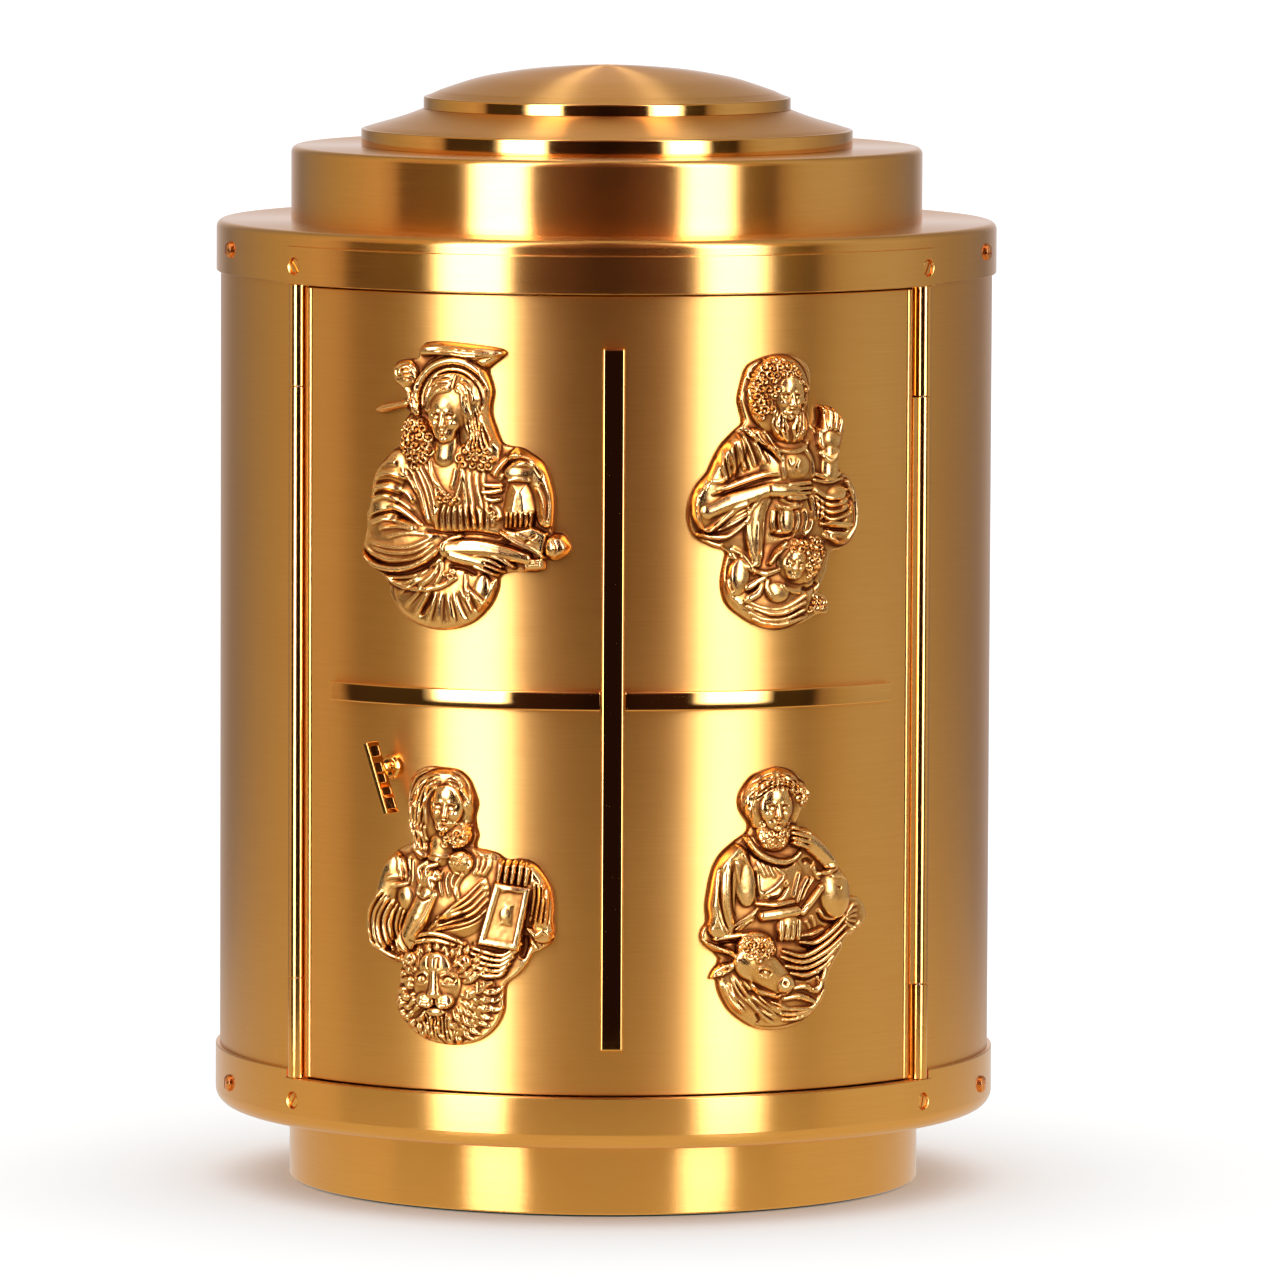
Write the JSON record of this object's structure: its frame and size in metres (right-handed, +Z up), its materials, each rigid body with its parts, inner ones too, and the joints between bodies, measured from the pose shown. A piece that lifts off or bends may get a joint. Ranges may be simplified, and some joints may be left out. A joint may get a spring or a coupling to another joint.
{
  "type": "tabernacle box",
  "caption": "Round gilded brass tabernacle with stepped domed top, curved front door bearing a cross and cast relief figures, long side hinge, key lock and bolt-down base",
  "frame": {"origin": "on the central axis, at the underside of the felt pad that stands on the altar or shelf", "axes": "+Z up; the door faces -Y; +X to the right seen from the front, so the hinge is on +X and the lock on -X"},
  "size_m": [0.36, 0.3626, 0.5157],
  "materials": {
    "felt": "dark green felt",
    "satin_brass": "gilded brass, brushed round the drum to a satin",
    "polished_brass": "gilded brass, polished",
    "bar_brass": "gilded brass, faces polished, edges bevelled",
    "cast_gilt": "cast gilded brass, burnished high points over a matt ground",
    "key_brass": "cast brass, polished",
    "screw_brass": "slotted brass screws",
    "liner_brass": "gilded brass, fine satin",
    "plate_steel": "zinc plated steel",
    "lock_steel": "nickel plated steel",
    "hardware_steel": "bright steel",
    "plug_brass": "turned brass",
    "board_wood": "stained cedar board, oiled"
  },
  "bodies": {
    "case": {"anchor_sleeves": "plate_steel", "base_drum": "satin_brass", "base_plate": "plate_steel", "body_shell": "satin_brass", "bottom_pan": "satin_brass", "cap_screws": "screw_brass", "ceiling_board": "board_wood", "chamber_liner": "liner_brass", "closing_rod_bottom": "polished_brass", "closing_rod_middle": "polished_brass", "closing_rod_pin": "hardware_steel", "closing_rod_top": "polished_brass", "crown_boss": "plate_steel", "crown_drum": "satin_brass", "crown_nut": "hardware_steel", "crown_stud": "hardware_steel", "crown_washer": "hardware_steel", "felt_pad": "felt", "floor_board": "board_wood", "hinge_barrel_bottom": "polished_brass", "hinge_barrel_top": "polished_brass", "hinge_jamb": "liner_brass", "hinge_pin": "hardware_steel", "lintel_strip": "satin_brass", "lock_jamb": "liner_brass", "lower_dome": "satin_brass", "lower_dome_rim": "polished_brass", "pan_screws": "screw_brass", "sill_strip": "satin_brass", "strike_plate": "liner_brass", "strike_screws": "hardware_steel", "strip_screws": "screw_brass", "top_cap": "satin_brass", "upper_dome": "satin_brass", "upper_dome_rim": "polished_brass"},
    "door": {"door_panel": "satin_brass", "door_stile_lock": "liner_brass", "door_stile_hinge": "liner_brass", "door_rail_top": "liner_brass", "door_rail_bottom": "liner_brass", "door_lining": "liner_brass", "relief_eagle_figure": "cast_gilt", "relief_angel_figure": "cast_gilt", "relief_lion_figure": "cast_gilt", "relief_ox_figure": "cast_gilt", "relief_studs": "hardware_steel", "relief_nuts": "hardware_steel", "cross_upright": "bar_brass", "cross_arm": "bar_brass", "lock_collar": "polished_brass", "lock_saddle": "lock_steel", "lock_case": "lock_steel", "lock_screws": "hardware_steel", "bolt_guide": "lock_steel", "hinge_leaf": "polished_brass"},
    "lock_plug": {"lock_plug": "plug_brass", "lock_cam": "lock_steel"},
    "lock_bolt": {"lock_bolt": "lock_steel"},
    "key": {"key": "key_brass"}
  },
  "joints": [
    {"name": "door_swing", "type": "hinge", "parent": "case", "child": "door", "pos_m": [0.14129, -0.10744, 0.24], "axis": [0, 0, 1], "range_deg": [0, 120]},
    {"name": "key_turn", "type": "hinge", "parent": "door", "child": "lock_plug", "pos_m": [-0.09383, -0.14176, 0.2054], "axis": [0.5519, 0.8339, 0], "range_deg": [0, 91]},
    {"name": "bolt_throw", "type": "slide", "parent": "door", "child": "lock_bolt", "axis": [-0.8339, 0.5519, 0], "range_m": [0, 0.01202]},
    {"name": "key_withdraw", "type": "slide", "parent": "lock_plug", "child": "key", "axis": [-0.5519, -0.8339, 0], "range_m": [0, 0.03]}
  ],
  "couplings": [
    {"joint": "key_turn", "follows": "bolt_throw", "rad_per_m": 130.67}
  ]
}
